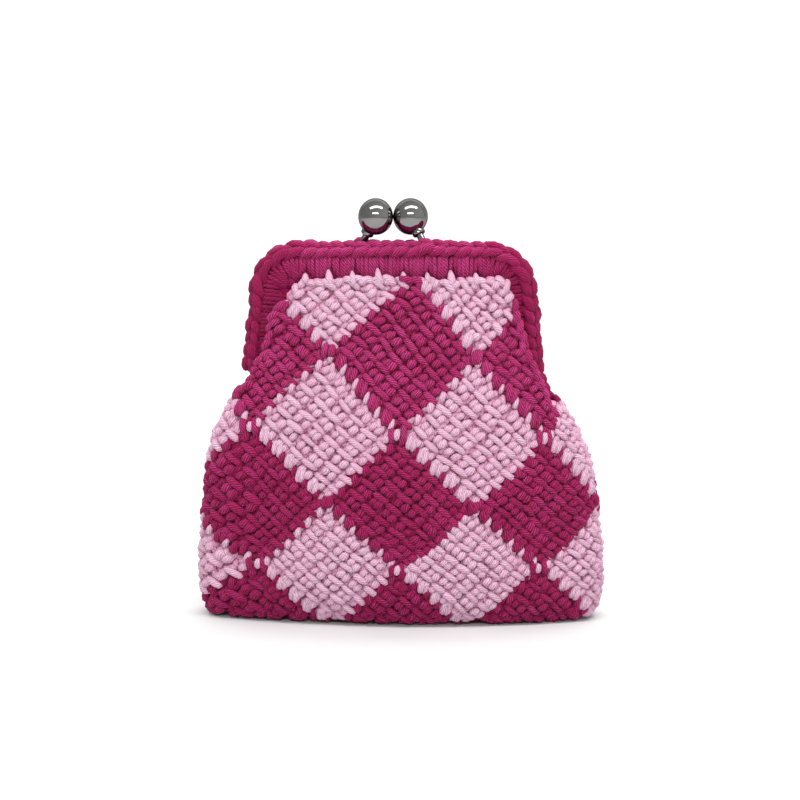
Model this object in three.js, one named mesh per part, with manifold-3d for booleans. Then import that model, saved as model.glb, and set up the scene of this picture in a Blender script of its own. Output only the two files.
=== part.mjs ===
// Crocheted pouch bag with a ball clasp.
//
// The bag is a tube of entrelac crochet: rounds of six squares that lean on one corner, each round worked in
// one yarn into the edges of the round below. It grows from an oval base panel and hangs from a metal frame of
// two equal halves. Each half is a U-shaped bar with a ball on a leaning post, and yarn is crocheted over the
// bar all round. Two hinge pins join the halves, and the balls snap past each other to keep the bag shut.
//
// Millimetres, +Z up, the front towards -Y, the origin on the floor under the middle of the bag.

import * as THREE from "three";
import { mergeVertices } from "three/addons/utils/BufferGeometryUtils.js";
import Module from "manifold-3d";

const wasm = await Module();
wasm.setup();

// Driving dimensions

const WALL = 4.5; // a crocheted wall is two strands thick
const GAP = 0.3; // between pieces that touch
const FRAME_X = -2.9; // the frame sits a little left of the middle of the soft body

// Entrelac: the place on the tube is (u, v). One square is 1 wide in u and 2 high in v. u = 0 is the front's
// middle and u = 3 the back's. v = 0 is the rim at the frame and v = 5 the base's edge.
const SQUARES = 6; // squares in one round
const COLUMNS = 5; // mesh columns in half a square
const ROWS = 4; // mesh rows in one round
const HALF_ROWS = 3; // and in the half squares of the top and the base
const LAST_ROW = 5; // v at the base's edge
const LINK = 0.07; // half-height of the stitch that links two squares at their corners
const EDGE_DIP = 1.0; // each square is pillowed: its edges lie this much lower
const JOIN = 0.007; // half the gap between two rounds, in v

// The cloth's upper edge: along the frame's top, down its arm, and level under the hinge.
const EDGE = { u: 0, v: 1 };
const EDGES = [
  [0.7, 0.0],
  [0.8, 0.2],
  [0.9, 0.82],
  [1.0, 1.23],
  [1.1, 1.56],
];
const TOP_REACH = 0.8; // how far the half squares of the rim go to each side
const UPPER_REACH = 1.2; // and the squares under them, past the hinge

// The cloth has crept round the body a little, so the folds at the sides are not at the squares' corners. Each
// row has a u and its place round the body, where 1.5 is the right fold and 4.5 the left one.
const CREEP = { u: 0, place: 1 };
const CREEPS = [
  [-1.32, -1.5],
  [-1.0, -1.0],
  [1.0, 1.0],
  [1.6, 1.5],
  [2.0, 2.0],
  [4.0, 4.0],
  [4.68, 4.5],
];
const DRIFT = 0.09; // the middle of the front's rim is drawn to the right by this much of a square
const DRIFT_END = 1.6; // and the pull is gone this far down

// Level sections of the tube, from the rim to the base. A quarter of one is three lines: a wide arc across the
// panel, a tight arc of radius roll round the edge, and a straight gusset back to the side's middle, folded in
// by tuck. panel is the share of the quarter's length up to u = 1, and tilt the slope of the section.
const SECTION = { v: 0, z: 1, halfWidth: 2, halfDepth: 3, gusset: 4, roll: 5, panel: 6, tuck: 7, tilt: 8 };
const SECTIONS = [
  [0.0, 150.0, 56.0, 13.8, 7.6, 5.5, 0.922, 0.0, 0.0],
  [0.5, 133.5, 58.8, 17.8, 8.4, 6.0, 0.885, 0.0, -0.018],
  [1.0, 117.0, 64.6, 22.6, 9.0, 6.5, 0.815, 0.0, -0.035],
  [1.35, 106.0, 68.6, 25.5, 8.6, 8.0, 0.775, 3.0, -0.038],
  [1.6, 97.8, 72.6, 27.5, 7.8, 9.5, 0.742, 6.0, -0.038],
  [2.0, 84.6, 80.0, 31.0, 6.0, 12.0, 0.688, 4.5, -0.036],
  [2.5, 69.2, 85.6, 33.5, 3.5, 15.0, 0.644, 1.5, -0.026],
  [3.0, 54.2, 87.8, 34.5, 1.0, 18.0, 0.624, 0.0, -0.015],
  [3.5, 39.8, 89.4, 34.6, 0.1, 19.0, 0.61, 0.0, -0.007],
  [4.0, 26.0, 90.4, 34.0, 0.1, 19.0, 0.6, 0.0, -0.002],
  [4.5, 11.6, 90.1, 31.8, 0.1, 18.0, 0.601, 0.0, 0.0],
  [4.7, 5.2, 88.7, 28.8, 0.1, 16.0, 0.606, 0.0, 0.0],
  [4.85, 1.4, 85.8, 25.0, 0.1, 14.0, 0.612, 0.0, 0.0],
  [5.0, 0.0, 81.2, 19.6, 0.1, 11.0, 0.62, 0.0, 0.0],
  [5.3, 0.0, 72.0, 10.0, 0.1, 5.5, 0.637, 0.0, 0.0],
];

// Frame: the middle line of a bar runs up one arm, round a corner, along the top and down the other arm.
const BAR = { high: 8.0, deep: 2.4, y: -4.45, top: 155.5, corner: 11.5 };
const HINGE = { x: 56.2, z: 104.5, lug: 4.0, pin: 1.6, head: 2.6, headThick: 1.2, overhang: 1.0 };
const ARM_LEAN = 0.085; // sine of the arms' lean towards the middle
const COVER_END = 108.0; // the yarn stops here, above the hinge
const BEND_STEPS = 5;
const TOP_STEPS = 8;
const ARM_STEPS = 5;

// The crocheted cover of a bar, seen along it: out is the way from the bar's middle line to the frame's
// outside. The bead along the outer edge is the chain that the stitches end in.
const COVER = { out: 0, y: 1 };
const COVER_SECTION = [
  [10.0, -2.4],
  [8.6, -0.8],
  [2.8, -0.5],
  [-10.2, -1.1],
  [-11.0, -4.4],
  [-10.2, -7.4],
  [-6.0, -8.2],
  [2.8, -7.5],
  [4.4, -8.5],
  [6.9, -9.0],
  [9.4, -7.6],
  [10.2, -4.8],
];

// Ball clasp: each half carries one ball on a leaning post.
const BALL = { radius: 7.6, x: 7.75, y: 1.2, z: 176.8 };
const POST = { x: 17.0, foot: 2.3, footHigh: 4.0, neck: 1.6, collar: 2.9, collarHigh: 2.2 };
const BALL_SIDES = 20;
const BALL_BANDS = 10;

const YARN_DARK = new THREE.MeshStandardMaterial({ color: 0xa8285f, roughness: 0.9, metalness: 0 });
const YARN_LIGHT = new THREE.MeshStandardMaterial({ color: 0xe6b8d4, roughness: 0.9, metalness: 0 });
const NICKEL = new THREE.MeshStandardMaterial({ color: 0x8b8a88, roughness: 0.15, metalness: 1 });

// Solids

const solidOf = (geometry) => {
  const bare = new THREE.BufferGeometry();
  bare.setAttribute("position", geometry.getAttribute("position"));
  bare.setIndex(geometry.index);
  const merged = mergeVertices(bare, 1e-3);
  return new wasm.Manifold(
    new wasm.Mesh({
      numProp: 3,
      vertProperties: merged.getAttribute("position").array,
      triVerts: new Uint32Array(merged.index.array),
    }),
  );
};

const geometryOf = (solid) => {
  const mesh = solid.getMesh();
  const geometry = new THREE.BufferGeometry();
  geometry.setAttribute("position", new THREE.BufferAttribute(mesh.vertProperties, 3));
  geometry.setIndex(new THREE.BufferAttribute(mesh.triVerts, 1));
  geometry.computeVertexNormals();
  return geometry;
};

const geometryFrom = (points, triangles) => {
  const geometry = new THREE.BufferGeometry();
  geometry.setAttribute(
    "position",
    new THREE.Float32BufferAttribute(
      points.flatMap((p) => p.toArray()),
      3,
    ),
  );
  geometry.setIndex(triangles);
  geometry.computeVertexNormals();
  return geometry;
};

// The surface of the soft body

// One column of the section table at v, on a smooth curve through the rows.
const sectionAt = (column, v) => {
  const last = SECTIONS.length - 1;
  let i = 0;
  while (i < last - 1 && SECTIONS[i + 1][SECTION.v] <= v) i += 1;
  const value = (k) => SECTIONS[k][column];
  const place = (k) => SECTIONS[k][SECTION.v];
  const slope = (k) => {
    const before = Math.max(k - 1, 0);
    const after = Math.min(k + 1, last);
    return (value(after) - value(before)) / (place(after) - place(before));
  };
  const step = place(i + 1) - place(i);
  const t = (v - place(i)) / step;
  const t2 = t * t;
  const t3 = t2 * t;
  return (
    (2 * t3 - 3 * t2 + 1) * value(i) +
    (t3 - 2 * t2 + t) * step * slope(i) +
    (3 * t2 - 2 * t3) * value(i + 1) +
    (t3 - t2) * step * slope(i + 1)
  );
};

// One column of a table at a place in another, on straight lines between its rows.
const between = (table, from, to, at) => {
  const last = table.length - 1;
  if (at <= table[0][from]) return table[0][to];
  if (at >= table[last][from]) return table[last][to];
  let i = 0;
  while (table[i + 1][from] < at) i += 1;
  const share = (at - table[i][from]) / (table[i + 1][from] - table[i][from]);
  return table[i][to] + share * (table[i + 1][to] - table[i][to]);
};

// The place round the body of a point of the lattice, from -1.5 to 4.5.
const placeAt = (u, v) => {
  const first = CREEPS[0][CREEP.u];
  const at = u - SQUARES * Math.floor((u - first) / SQUARES);
  const place = between(CREEPS, CREEP.u, CREEP.place, at);
  const pull = Math.max(0, 1 - v / DRIFT_END) ** 2 * Math.max(0, 1 - Math.abs(place));
  return place + DRIFT * pull;
};

// The point of the outer surface at (u, v).
const bodyPoint = (u, v) => {
  const place = placeAt(u, v);
  const around = place - SQUARES * Math.round(place / SQUARES);
  const back = Math.abs(around) > SQUARES / 4;
  const fromMiddle = back ? SQUARES / 2 - Math.abs(around) : Math.abs(around);
  const a = sectionAt(SECTION.halfWidth, v);
  const b = sectionAt(SECTION.halfDepth, v);
  const gusset = sectionAt(SECTION.gusset, v);
  const roll = sectionAt(SECTION.roll, v);
  const depth = b - gusset;
  const wide = ((a - roll) ** 2 + depth ** 2 - roll ** 2) / (2 * (depth - roll));
  const turn = Math.asin((a - roll) / (wide - roll));
  const panelLength = wide * turn;
  const rollLength = roll * (Math.PI / 2 - turn);
  const t = fromMiddle / (SQUARES / 4);
  const panel = sectionAt(SECTION.panel, v);
  const share = t < 2 / 3 ? panel * 1.5 * t : panel + (1 - panel) * (3 * t - 2);
  const along = share * (panelLength + rollLength + gusset);
  let x;
  let y;
  if (along <= panelLength) {
    x = wide * Math.sin(along / wide);
    y = -b + wide * (1 - Math.cos(along / wide));
  } else if (along <= panelLength + rollLength) {
    const angle = turn + (along - panelLength) / roll;
    x = a - roll + roll * Math.sin(angle);
    y = -gusset - roll * Math.cos(angle);
  } else {
    y = along - panelLength - rollLength - gusset;
    x = a - sectionAt(SECTION.tuck, v) * (1 - (y / gusset) ** 2) ** 2;
  }
  const across = Math.sign(around) * x;
  const z = Math.max(0, sectionAt(SECTION.z, v) + sectionAt(SECTION.tilt, v) * across);
  return new THREE.Vector3(across, back ? -y : y, z);
};

const bodyNormal = (u, v) => {
  const du = 0.01;
  const dv = 0.01;
  const across = bodyPoint(u + du, v).sub(bodyPoint(u - du, v));
  const down = bodyPoint(u, v + dv).sub(bodyPoint(u, Math.max(0, v - dv)));
  return down.cross(across).normalize();
};

// Half the height, in v, of a round of squares at u, where middle is the u of one square's middle.
const halfHeight = (u, middle) => {
  const off = Math.abs(u - middle - Math.round(u - middle));
  return Math.min(Math.max(1 - 2 * off, LINK), 1 - LINK);
};

// The v of the cloth's upper edge at u.
const rimAt = (u) => {
  const toMiddle = Math.abs(u - (SQUARES / 2) * Math.round(u / (SQUARES / 2)));
  return between(EDGES, EDGE.u, EDGE.v, toMiddle);
};

// A round of squares, or a stretch of one, as a wall. row is the v of the squares' middles, and middle the u of
// one of them.
const roundWall = ({ row, middle, rows = ROWS, from = 0, to = SQUARES }) => {
  const ring = to - from === SQUARES;
  const columns = Math.round((to - from) * 2 * COLUMNS);
  const stations = ring ? columns : columns + 1;
  const points = [];
  for (let j = 0; j < stations; j += 1) {
    const u = from + j / (2 * COLUMNS);
    const half = halfHeight(u, middle) - JOIN;
    const top = Math.max(row - half, rimAt(u));
    const bottom = Math.min(row + half, LAST_ROW);
    for (const inside of [false, true]) {
      for (let i = 0; i <= rows; i += 1) {
        const v = top + ((bottom - top) * i) / rows;
        const meetsSquare = (i === 0 && v > 0) || (i === rows && v < LAST_ROW);
        const depth = inside ? WALL : meetsSquare ? EDGE_DIP : 0;
        points.push(bodyPoint(u, v).addScaledVector(bodyNormal(u, v), -depth));
      }
    }
  }
  const perStation = 2 * (rows + 1);
  const outer = (j, i) => (j % stations) * perStation + i;
  const inner = (j, i) => outer(j, i) + rows + 1;
  const triangles = [];
  const quad = (a, b, c, d) => triangles.push(a, b, c, a, c, d);
  for (let j = 0; j < columns; j += 1) {
    for (let i = 0; i < rows; i += 1) {
      quad(outer(j, i), outer(j, i + 1), outer(j + 1, i + 1), outer(j + 1, i));
      quad(inner(j, i), inner(j + 1, i), inner(j + 1, i + 1), inner(j, i + 1));
    }
    quad(outer(j, 0), outer(j + 1, 0), inner(j + 1, 0), inner(j, 0));
    quad(outer(j, rows), inner(j, rows), inner(j + 1, rows), outer(j + 1, rows));
  }
  if (!ring) {
    for (let i = 0; i < rows; i += 1) {
      quad(outer(0, i), inner(0, i), inner(0, i + 1), outer(0, i + 1));
      quad(outer(columns, i), outer(columns, i + 1), inner(columns, i + 1), inner(columns, i));
    }
  }
  return geometryFrom(points, triangles);
};

// The oval panel under the bag, inside the lowest round's edge.
const basePanel = () => {
  const outline = [];
  const count = SQUARES * 2 * COLUMNS;
  for (let j = 0; j < count; j += 1) {
    const edge = bodyPoint((j * SQUARES) / count, LAST_ROW);
    const inset = 1 - (3 * GAP) / edge.length();
    outline.push(new THREE.Vector2(edge.x * inset, edge.y * inset));
  }
  return new THREE.ExtrudeGeometry(new THREE.Shape(outline), { depth: WALL, bevelEnabled: false });
};

// The frame

// Stations along a bar's middle line, seen from the front, each with the way out of the frame.
const frameLine = (end) => {
  const rise = Math.sqrt(1 - ARM_LEAN ** 2);
  const armX = (z) => HINGE.x - ((z - HINGE.z) * ARM_LEAN) / rise;
  const half = [];
  const bend = Math.acos(ARM_LEAN);
  const reach = BAR.corner * Math.tan(bend / 2);
  const cornerX = armX(BAR.top);
  const bendX = cornerX - reach;
  const armTop = BAR.top - reach * rise;
  for (let i = 0; i <= ARM_STEPS; i += 1) {
    const z = end + ((armTop - end) * i) / ARM_STEPS;
    half.push({ x: armX(z), z, outX: rise, outZ: ARM_LEAN });
  }
  for (let i = 1; i <= BEND_STEPS; i += 1) {
    const angle = Math.asin(ARM_LEAN) + (bend * i) / BEND_STEPS;
    const outX = Math.cos(angle);
    const outZ = Math.sin(angle);
    half.push({ x: bendX + BAR.corner * outX, z: BAR.top - BAR.corner + BAR.corner * outZ, outX, outZ });
  }
  const left = half.map(({ x, z, outX, outZ }) => ({ x: -x, z, outX: -outX, outZ }));
  const top = [];
  for (let i = 1; i < TOP_STEPS; i += 1) {
    top.push({ x: bendX * ((2 * i) / TOP_STEPS - 1), z: BAR.top, outX: 0, outZ: 1 });
  }
  return [...left, ...top, ...half.reverse()];
};

// A section of [out, y] points carried along the frame's line and closed at both ends.
const alongFrame = (section, line) => {
  const points = line.flatMap(({ x, z, outX, outZ }) =>
    section.map(([out, y]) => new THREE.Vector3(x + outX * out, y, z + outZ * out)),
  );
  const n = section.length;
  const triangles = [];
  for (let j = 0; j + 1 < line.length; j += 1) {
    for (let k = 0; k < n; k += 1) {
      const a = j * n + k;
      const b = j * n + ((k + 1) % n);
      triangles.push(a, a + n, b + n, a, b + n, b);
    }
  }
  const flat = section.map(([out, y]) => new THREE.Vector2(out, y));
  const end = (line.length - 1) * n;
  for (const [a, b, c] of THREE.ShapeUtils.triangulateShape(flat, [])) {
    triangles.push(a, b, c, end + a, end + c, end + b);
  }
  return solidOf(geometryFrom(points, triangles));
};

const barSection = (spare) => {
  const high = BAR.high / 2 + spare;
  const deep = BAR.deep / 2 + spare;
  return [
    [high, BAR.y + deep],
    [-high, BAR.y + deep],
    [-high, BAR.y - deep],
    [high, BAR.y - deep],
  ];
};

// A round piece turned from a profile of [radius, height] points, set along a line from foot towards head.
const turned = (profile, sides, foot, head) => {
  const geometry = new THREE.LatheGeometry(
    profile.map(([radius, height]) => new THREE.Vector2(radius, height)),
    sides,
  );
  const way = head.clone().sub(foot).normalize();
  geometry.applyQuaternion(new THREE.Quaternion().setFromUnitVectors(new THREE.Vector3(0, 1, 0), way));
  geometry.translate(foot.x, foot.y, foot.z);
  return solidOf(geometry);
};

const rod = (radius, from, to, sides = 16) =>
  turned(
    [
      [0, 0],
      [radius, 0],
      [radius, from.distanceTo(to)],
      [0, from.distanceTo(to)],
    ],
    sides,
    from,
    to,
  );

const POST_FOOT = new THREE.Vector3(POST.x, BAR.y, BAR.top + BAR.high / 2 - 1);
const BALL_CENTRE = new THREE.Vector3(BALL.x, BALL.y, BALL.z);

const ballOnPost = () => {
  const centre = POST_FOOT.distanceTo(BALL_CENTRE);
  const collarTop = centre - Math.sqrt(BALL.radius ** 2 - POST.neck ** 2);
  const collarFoot = collarTop - POST.collarHigh;
  const profile = [
    [0, 0],
    [POST.foot, 0],
    [POST.foot, POST.footHigh],
    [POST.neck, POST.footHigh + 1],
    [POST.neck, collarFoot],
    [POST.collar - 0.4, collarFoot],
    [POST.collar, collarFoot + POST.collarHigh / 3],
    [POST.collar, collarFoot + (2 * POST.collarHigh) / 3],
    [POST.collar - 0.6, collarTop],
  ];
  const start = Math.asin(POST.collar / BALL.radius);
  for (let i = 0; i < BALL_BANDS; i += 1) {
    const angle = start + ((Math.PI - start) * i) / BALL_BANDS;
    profile.push([BALL.radius * Math.sin(angle), centre - BALL.radius * Math.cos(angle)]);
  }
  profile.push([0, centre + BALL.radius]);
  return turned(profile, BALL_SIDES, POST_FOOT, BALL_CENTRE);
};

// One half's bar with its hinge lugs, its post and its ball, soldered into one piece.
const frameHalf = () => {
  let solid = alongFrame(barSection(0), frameLine(HINGE.z)).add(ballOnPost());
  for (const side of [-1, 1]) {
    const lugAt = (y) => new THREE.Vector3(side * HINGE.x, y, HINGE.z);
    const front = BAR.y - BAR.deep / 2;
    const back = BAR.y + BAR.deep / 2;
    solid = solid.add(rod(HINGE.lug, lugAt(front), lugAt(back)));
    solid = solid.subtract(rod(HINGE.pin + GAP, lugAt(front - 1), lugAt(back + 1)));
  }
  return geometryOf(solid);
};

// The yarn crocheted over one bar: a sleeve round the bar, with a way out for the post.
const frameCover = () => {
  const section = COVER_SECTION.map((row) => [row[COVER.out], row[COVER.y]]);
  const sleeve = alongFrame(section, frameLine(COVER_END));
  const channel = alongFrame(barSection(GAP), frameLine(COVER_END - 2));
  const postHole = rod(POST.foot + GAP, POST_FOOT, BALL_CENTRE);
  return geometryOf(sleeve.subtract(channel).subtract(postHole));
};

const hingePin = () => {
  const reach = -BAR.y + BAR.deep / 2 + HINGE.overhang;
  const end = reach + HINGE.headThick;
  const profile = [
    [0, 0],
    [HINGE.head, 0],
    [HINGE.head, HINGE.headThick],
    [HINGE.pin, HINGE.headThick],
    [HINGE.pin, end + reach],
    [HINGE.head, end + reach],
    [HINGE.head, 2 * end],
    [0, 2 * end],
  ];
  return geometryOf(turned(profile, 16, new THREE.Vector3(0, -end, 0), new THREE.Vector3(0, end, 0)));
};

// Assembly

const piece = (name, geometry, material) => {
  const mesh = new THREE.Mesh(geometry, material);
  mesh.name = name;
  return mesh;
};

const pouch = new THREE.Group();
pouch.add(
  piece("base_panel", basePanel(), YARN_DARK),
  piece("base_round", roundWall({ row: 5, middle: 0, rows: HALF_ROWS }), YARN_DARK),
  piece("round_1", roundWall({ row: 4, middle: 0.5 }), YARN_LIGHT),
  piece("round_2", roundWall({ row: 3, middle: 0 }), YARN_DARK),
  piece("round_3", roundWall({ row: 2, middle: 0.5 }), YARN_LIGHT),
);

// Above the hinge the tube is open at the sides, so the upper rounds are one stretch at the front and one at the
// back.
for (const [side, u] of [
  ["front", 0],
  ["back", SQUARES / 2],
]) {
  const squares = { row: 1, middle: 0, from: u - UPPER_REACH, to: u + UPPER_REACH };
  const triangles = { row: 0, middle: 0.5, rows: HALF_ROWS, from: u - TOP_REACH, to: u + TOP_REACH };
  pouch.add(piece(`${side}_round_4`, roundWall(squares), YARN_DARK));
  pouch.add(piece(`${side}_top_triangles`, roundWall(triangles), YARN_LIGHT));
}

const frame = new THREE.Group();
frame.position.x = FRAME_X;
const halfGeometry = frameHalf();
const coverGeometry = frameCover();
for (const [side, turn] of [
  ["front", 0],
  ["back", Math.PI],
]) {
  const half = new THREE.Group();
  half.rotation.z = turn;
  half.add(piece(`${side}_frame`, halfGeometry, NICKEL));
  half.add(piece(`${side}_frame_cover`, coverGeometry, YARN_DARK));
  frame.add(half);
}
for (const [side, sign] of [
  ["left", -1],
  ["right", 1],
]) {
  const pin = piece(`${side}_hinge_pin`, hingePin(), NICKEL);
  pin.position.set(sign * HINGE.x, 0, HINGE.z);
  frame.add(pin);
}

const bag = new THREE.Group();
bag.add(pouch, frame);

export default bag;
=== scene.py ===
# %% [markdown]
# # A crocheted pouch bag with a ball clasp
#
# The bag is a tube of entrelac crochet: leaning squares, worked round by round in two colours of yarn. It
# hangs from a metal frame that is crocheted over. Every stitch is a short stretch of yarn, so the lesson
# first finds the cloth's surface and then lays yarn on it. The metal comes last.

import math

import bpy
import numpy as np
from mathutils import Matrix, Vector


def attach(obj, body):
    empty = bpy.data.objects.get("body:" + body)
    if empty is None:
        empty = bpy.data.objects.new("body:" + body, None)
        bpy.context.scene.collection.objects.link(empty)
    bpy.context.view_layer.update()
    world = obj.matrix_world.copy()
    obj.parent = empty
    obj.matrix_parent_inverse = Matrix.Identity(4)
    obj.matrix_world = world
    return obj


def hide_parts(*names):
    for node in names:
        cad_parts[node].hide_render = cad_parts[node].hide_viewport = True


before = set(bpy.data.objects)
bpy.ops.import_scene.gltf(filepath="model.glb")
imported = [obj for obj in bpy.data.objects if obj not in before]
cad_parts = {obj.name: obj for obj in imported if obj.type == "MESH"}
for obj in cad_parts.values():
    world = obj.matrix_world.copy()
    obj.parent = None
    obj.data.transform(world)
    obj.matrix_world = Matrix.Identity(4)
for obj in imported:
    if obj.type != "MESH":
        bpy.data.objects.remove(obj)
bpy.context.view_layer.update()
MM = 0.001
dice = np.random.default_rng(11)

# %% [markdown]
# ## Words for shader nodes
#
# A finish is a tree of nodes. It can be clicked together, or added node by node in code, which takes many
# lines. Here a formula is written as a formula: a Socket is one output of a node, and arithmetic on sockets
# adds Math nodes.


# %% Sockets and their arithmetic
class Socket:
    def __init__(self, tree, output):
        self.tree = tree
        self.output = output

    def math(self, operation, *others):
        node = self.tree.nodes.new("ShaderNodeMath")
        node.operation = operation
        for slot, value in zip(node.inputs, (self, *others)):
            plug(self.tree, slot, value)
        return Socket(self.tree, node.outputs[0])

    def __add__(self, other):
        return self.math("ADD", other)

    def __sub__(self, other):
        return self.math("SUBTRACT", other)

    def __rsub__(self, other):
        return self * -1.0 + other

    def __mul__(self, other):
        return self.math("MULTIPLY", other)

    def __truediv__(self, other):
        return self.math("DIVIDE", other)

    __radd__ = __add__
    __rmul__ = __mul__

    def held(self):
        return self.math("MAXIMUM", 0.0).math("MINIMUM", 1.0)


def plug(tree, slot, value):
    """Link a socket to a slot, or write a plain value in it."""
    if isinstance(value, Socket):
        tree.links.new(value.output, slot)
    else:
        slot.default_value = value


print("a socket knows", len(vars(Socket)), "words")

# %% [markdown]
# All other nodes come from one method, which takes a node's type, its settings, and what goes into its
# slots, with an underscore for each space in a slot's name. It serves materials and the world alike.


# %% The nodes of a material or of the world
class Nodes:
    def __init__(self, owner, shader):
        owner.use_nodes = True
        self.owner = owner
        self.tree = owner.node_tree
        self.shader = self.tree.nodes[shader]

    def fill(self, node, inputs):
        for name, value in inputs.items():
            plug(self.tree, node.inputs[name.replace("_", " ")], value)

    def node(self, kind, output=0, settings=None, **inputs):
        node = self.tree.nodes.new("ShaderNode" + kind)
        for name, value in (settings or {}).items():
            setattr(node, name, value)
        self.fill(node, inputs)
        return Socket(self.tree, node.outputs[output])

    def mix(self, factor, a, b):
        """A colour between a and b. A Mix node repeats its slots' names, so these go by number."""
        node = self.tree.nodes.new("ShaderNodeMix")
        node.data_type = "RGBA"
        for slot, value in ((0, factor), (6, a), (7, b)):
            plug(self.tree, node.inputs[slot], value)
        return Socket(self.tree, node.outputs[2])

    def set(self, **inputs):
        self.fill(self.shader, inputs)


def new_material(name):
    return Nodes(bpy.data.materials.new(name), "Principled BSDF")


print("a tree knows", len(vars(Nodes)), "words")

# %% [markdown]
# ## The stage
#
# A sheet of pale paper lies under the bag and curves up behind it, because a flat floor would show its far
# edge. It is one plane: its back edge is drawn upwards, and the fold is bevelled wide.

# %% Floor and wall in one sweep
FLOOR_SIZE = (6, 3, 1)
FLOOR_PLACE = (0, -0.6, 0)
WALL_RISE = 2.5
FOLD, FOLD_STEPS = 0.6, 24
BEHIND = 0.5  # only the sheet's back edge lies past this


def select_edges(piece, wanted):
    bpy.ops.object.mode_set(mode="EDIT")
    bpy.ops.mesh.select_mode(type="EDGE")
    bpy.ops.mesh.select_all(action="DESELECT")
    bpy.ops.object.mode_set(mode="OBJECT")
    for edge in piece.data.edges:
        edge.select = wanted(*[piece.data.vertices[i].co for i in edge.vertices])
    bpy.ops.object.mode_set(mode="EDIT")


def apply_place():
    bpy.ops.object.transform_apply(location=True, rotation=True, scale=True)


bpy.ops.mesh.primitive_plane_add(size=1)
floor = bpy.context.object
floor.name = "floor"
floor.scale = FLOOR_SIZE
floor.location = FLOOR_PLACE
apply_place()
select_edges(floor, lambda a, b: min(a.y, b.y) > BEHIND)
bpy.ops.mesh.extrude_region_move(TRANSFORM_OT_translate={"value": (0, 0, WALL_RISE)})
select_edges(floor, lambda a, b: min(a.y, b.y) > BEHIND and max(a.z, b.z) < WALL_RISE / 2)
bpy.ops.mesh.bevel(offset=FOLD, segments=FOLD_STEPS)
bpy.ops.object.mode_set(mode="OBJECT")
bpy.ops.object.shade_smooth()
print("stage:", len(floor.data.polygons), "faces")

# %% [markdown]
# ## The camera
#
# The bag is seen from a little to its right and above, through a long lens. Two angles and a distance from
# the point that the camera looks at are easier to set against a picture than a place found by hand.

# %% Camera
AIM = Vector((0.00012, 0, 0.09592))
CAMERA_TURN = 3.5  # degrees to the right of straight ahead
CAMERA_RISE = 6.0  # degrees above level
CAMERA_AWAY = 0.8335
LENS = 85

turn, rise = math.radians(CAMERA_TURN), math.radians(CAMERA_RISE)
back = Vector((math.sin(turn) * math.cos(rise), -math.cos(turn) * math.cos(rise), math.sin(rise)))
bpy.ops.object.camera_add(location=AIM + back * CAMERA_AWAY)
camera = bpy.context.object
camera.rotation_euler = (-back).to_track_quat("-Z", "Y").to_euler()
camera.data.lens = LENS
bpy.context.scene.camera = camera
print("camera at", [round(x, 3) for x in camera.location])

# %% [markdown]
# ## The light
#
# The light is soft, and each ball shows two narrow bright lamps. Point lamps would give hard shadows
# between the stitches, so these are area lights: a long one above, a smaller one in front, and one that
# whitens the paper behind.

# %% Lights
#   name, place, aim, size, power
LIGHTS = [
    ("top_light", (0.08, -0.46, 1.03), (0, 0, 0.1), (1.4, 0.22), 11),
    ("front_light", (0.05, -1.3, 0.65), (0, 0, 0.1), (0.9, 0.12), 7.5),
    ("wall_light", (0, 0.6, 1.6), (0, 1.0, 0.2), (2.5, 0.6), 24),
]

for name, place, aim, size, power in LIGHTS:
    bpy.ops.object.light_add(type="AREA", location=place)
    light = bpy.context.object
    light.name = name
    light.rotation_euler = (Vector(aim) - Vector(place)).to_track_quat("-Z", "Y").to_euler()
    light.data.shape = "RECTANGLE"
    light.data.size, light.data.size_y = size
    light.data.energy = power
    light.visible_glossy = name != "wall_light"  # it would be one lamp too many in the balls
    print(name, power, "W")

# %% [markdown]
# The room gives the rest of the light, and the balls mirror it. One even grey would leave them flat, so the
# room is brighter to the right than to the left.

# %% The room
ROOM_COLOUR = (0.95, 0.96, 0.97, 1)
ROOM_LEFT, ROOM_RIGHT = 0.48, 0.8

room = Nodes(bpy.data.worlds.new("room"), "Background")
sideways = room.node("SeparateXYZ", output="X", Vector=room.node("TexCoord", output="Generated"))
brightness = room.node(
    "MapRange", Value=sideways, From_Min=-0.9, From_Max=0.9, To_Min=ROOM_LEFT, To_Max=ROOM_RIGHT
)
room.set(Color=ROOM_COLOUR, Strength=brightness)
bpy.context.scene.world = room.owner
bpy.context.scene.view_settings.view_transform = "Standard"
print("the room is", ROOM_LEFT, "to", ROOM_RIGHT, "bright")

# %% [markdown]
# ## The yarn's finish
#
# The yarn is soft and matt, spun from plies that wind round it. Plies made as geometry would need millions
# of faces, so they are drawn: the UV map counts the plies round the yarn and the millimetres along it,
# noise lets them wander, and a round hump on each gives the bump and the colour, with painted shade in the
# grooves between plies and a painted highlight on their tops. Two attributes come with the mesh: strand is a
# number for each length of yarn, which also carries the painted shade of the frame's arms, and deep is how
# far a point lies under the cloth's surface. Deeper yarn gets painted shade: its colour is mixed towards the
# colour of the shade between the stitches.

# %% Yarn
WANDER, TREMBLE = 1.3, 0.25  # plies that the noises push a ply aside
PLY_TONE, FIBRE_TONE, PATCH_TONE, STRAND_TONE, TONE_LESS = 0.95, 0.85, 0.3, 0.2, 0.72
PAINTED_SHADE_START, PAINTED_SHADE_REACH, PAINTED_SHADE_SHARE = 0.3, 2.4, 0.6  # painted shade deep in the holes: the depth where it starts and the depth over which it grows, in millimetres, and its greatest share of the colour


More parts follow.
